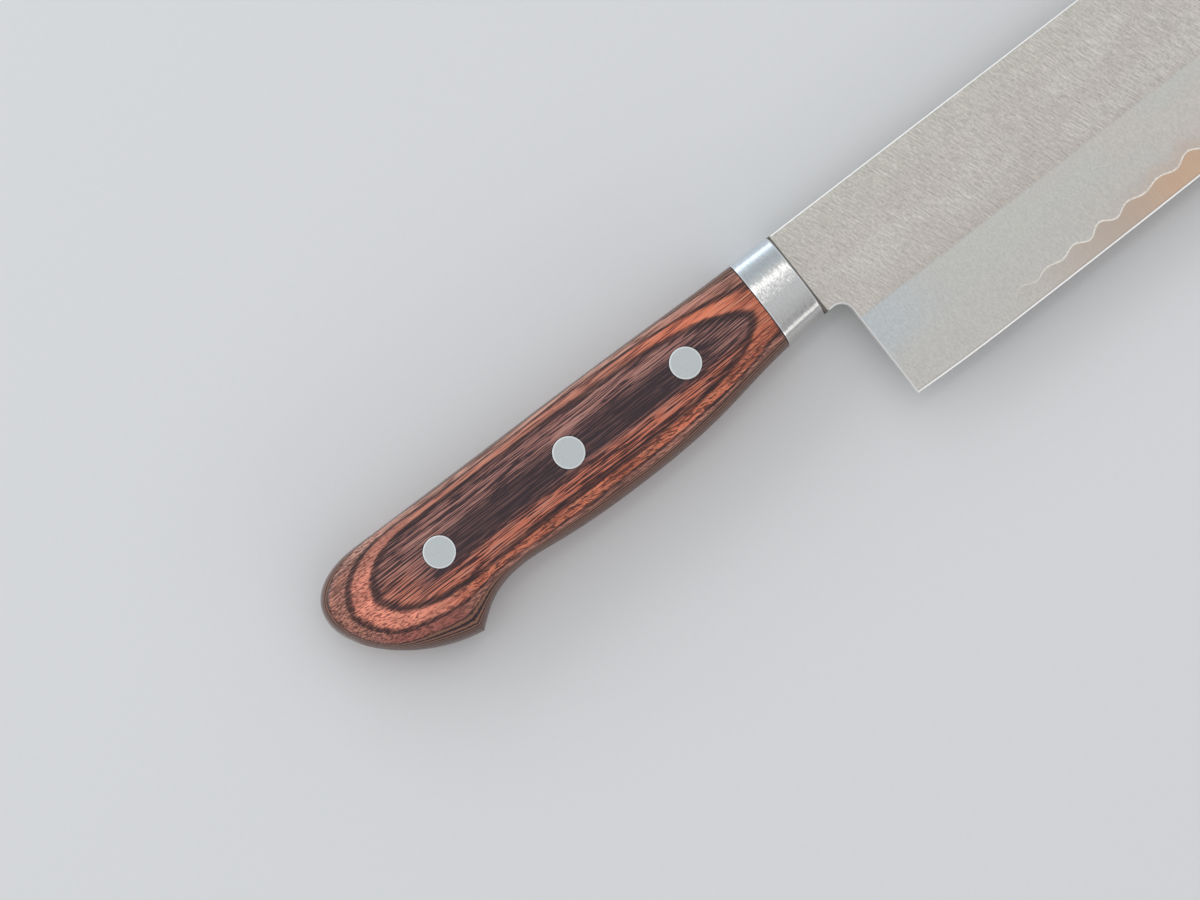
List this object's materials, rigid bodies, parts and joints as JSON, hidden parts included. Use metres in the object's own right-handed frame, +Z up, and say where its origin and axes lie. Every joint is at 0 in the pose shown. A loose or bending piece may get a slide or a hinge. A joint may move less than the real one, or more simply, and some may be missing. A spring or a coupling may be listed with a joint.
{
  "type": "nakiri knife",
  "caption": "Straight-edged vegetable knife with a tall squared blade, a drawn metal ferrule and a hooked, riveted handle of laminated wood.",
  "frame": {"origin": "middle of the knife in plan, at the height of the surface it lies on with its left side down", "axes": "+X from the butt towards the blade's tip, +Y from the cutting edge towards the spine, +Z up, from the knife's left face to its right face"},
  "size_m": [0.2914, 0.047, 0.0172],
  "materials": {
    "blade_steel": "satin, ground lengthwise on the bevel and across on the flats",
    "ferrule_stainless": "soft polish with drawing marks",
    "rivet_metal": "matt, sanded flush with the wood",
    "laminated_wood": "dyed veneers, sanded and waxed"
  },
  "bodies": {
    "root": {"blade": "blade_steel", "ferrule": "ferrule_stainless", "handle_scale_right": "laminated_wood", "handle_scale_left": "laminated_wood", "rivet_front_sleeve": "rivet_metal", "rivet_front_stud": "rivet_metal", "rivet_middle_sleeve": "rivet_metal", "rivet_middle_stud": "rivet_metal", "rivet_back_sleeve": "rivet_metal", "rivet_back_stud": "rivet_metal"}
  },
  "joints": []
}
